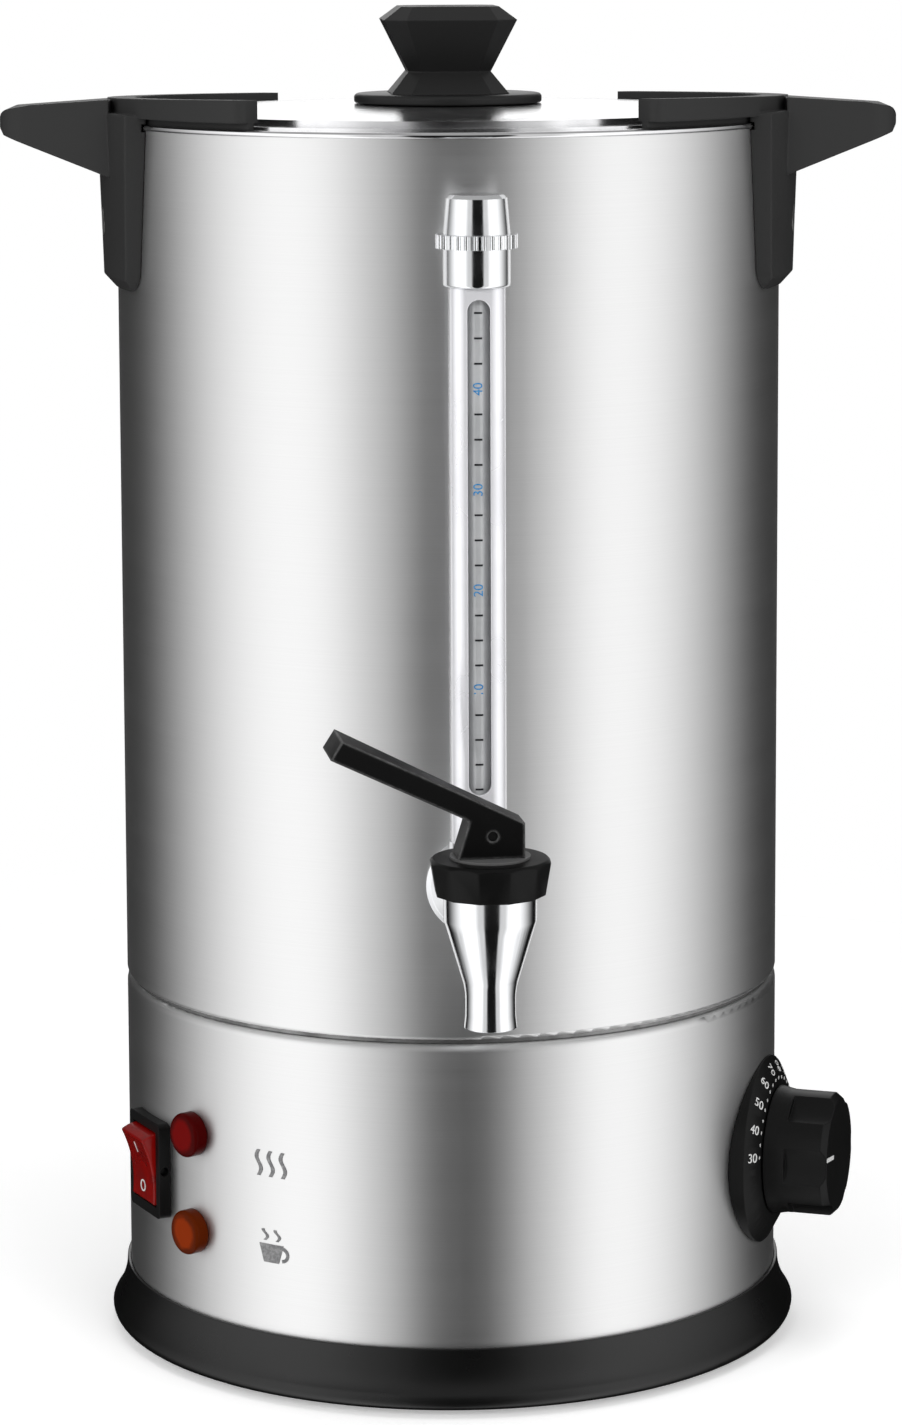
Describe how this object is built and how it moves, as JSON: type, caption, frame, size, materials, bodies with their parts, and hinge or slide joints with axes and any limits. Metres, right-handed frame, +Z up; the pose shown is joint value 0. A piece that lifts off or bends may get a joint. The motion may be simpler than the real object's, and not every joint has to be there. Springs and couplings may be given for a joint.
{
  "type": "coffee urn",
  "caption": "Tall double-walled steel beverage urn with lift-off lid, side handles, lever tap with sight gauge, and a base housing with rocker switch, lamps and thermostat dial.",
  "frame": {"origin": "on the table under the middle of the round body, level with the undersides of the feet", "axes": "+Z up along the body's axis, -Y out of the front where the tap is, +X to the right seen from the front, where the dial is"},
  "size_m": [0.304, 0.3121, 0.4572],
  "materials": {
    "base_black": "gloss black moulding",
    "moulded_black": "satin black moulding",
    "brushed_steel": "fine brushing round the body",
    "polished_steel": "polished stainless steel",
    "tank_steel": "satin stainless steel",
    "chrome": "bright chrome plate",
    "zinc_steel": "zinc-plated steel",
    "dark_seam": "dark seam",
    "rubber_black": "matte black rubber",
    "silicone": "food-grade silicone rubber",
    "glass_tube": "clear glass",
    "aluminium_plate": "cast aluminium",
    "element_sheath": "dark oxidised sheath",
    "white_plastic": "white heat-resistant plastic",
    "copper": "bare copper",
    "brass": "turned brass",
    "red_lens": "translucent ruby plastic",
    "amber_lens": "translucent amber plastic",
    "red_rocker": "translucent red plastic"
  },
  "bodies": {
    "urn": {"base_skirt": "base_black", "base_plate": "zinc_steel", "base_feet": "rubber_black", "base_screws": "zinc_steel", "lower_housing": "brushed_steel", "seam_ring": "dark_seam", "outer_shell": "brushed_steel", "rim_ring": "polished_steel", "tank": "tank_steel", "heater_plate": "aluminium_plate", "heater_element": "element_sheath", "dry_boil_cutout": "white_plastic", "thermostat_body": "white_plastic", "thermostat_bulb": "copper", "dial_plate": "moulded_black", "switch_frame": "moulded_black", "heat_lens": "red_lens", "warm_lens": "amber_lens", "lamp_holders": "white_plastic", "terminal_block": "white_plastic", "cord_gland": "moulded_black", "gland_nut": "moulded_black", "tap_shank": "chrome", "tap_flange": "chrome", "shank_spacer": "tank_steel", "shank_nut": "tank_steel", "tap_seals": "silicone", "tap_body": "chrome", "tap_bonnet": "moulded_black", "tap_spring": "zinc_steel", "gauge_tee": "chrome", "gauge_tube": "glass_tube", "gauge_shield": "chrome", "gauge_collar": "chrome", "gauge_nut": "chrome", "gauge_cap": "chrome", "gauge_seals": "rubber_black", "handle_left": "moulded_black", "handle_right": "moulded_black", "handle_screws": "zinc_steel"},
    "lid": {"lid": "polished_steel", "knob_shield": "moulded_black", "lid_knob": "moulded_black", "lid_screw": "zinc_steel"},
    "lever_washer": {"thrust_washer": "white_plastic"},
    "tap_stem": {"tap_stem": "tank_steel", "seat_cup": "silicone", "lever_pin": "tank_steel"},
    "tap_lever": {"tap_lever": "moulded_black"},
    "dial_knob": {"dial_knob": "moulded_black", "thermostat_spindle": "brass"},
    "switch_rocker": {"switch_rocker": "red_rocker"}
  },
  "joints": [
    {"name": "lid_lift", "type": "slide", "parent": "urn", "child": "lid", "axis": [0, 0, 1], "range_m": [0, 0.15]},
    {"name": "lever_swivel", "type": "hinge", "parent": "urn", "child": "lever_washer", "pos_m": [0, -0.174, 0.2], "axis": [0, 0, 1], "range_deg": [-4, 176]},
    {"name": "stem_lift", "type": "slide", "parent": "lever_washer", "child": "tap_stem", "axis": [0, 0, 1], "range_m": [0, 0.0028], "stiffness_N_per_m": 60, "springref_m": -0.005, "deforming": ["tap_spring"]},
    {"name": "lever_tilt", "type": "hinge", "parent": "tap_stem", "child": "tap_lever", "pos_m": [0, -0.174, 0.2068], "axis": [0.0698, -0.9976, 0], "range_deg": [-1, 18]},
    {"name": "knob_turn", "type": "hinge", "parent": "urn", "child": "dial_knob", "pos_m": [0.10867, -0.0439, 0.067], "axis": [-0.9272, 0.3746, 0], "range_deg": [0, 156]},
    {"name": "rocker_tilt", "type": "hinge", "parent": "urn", "child": "switch_rocker", "pos_m": [-0.10607, -0.04285, 0.067], "axis": [-0.3746, 0.9272, 0], "range_deg": [0, 20]}
  ],
  "couplings": [
    {"joint": "lever_tilt", "follows": "stem_lift", "rad_per_m": 90.9}
  ]
}
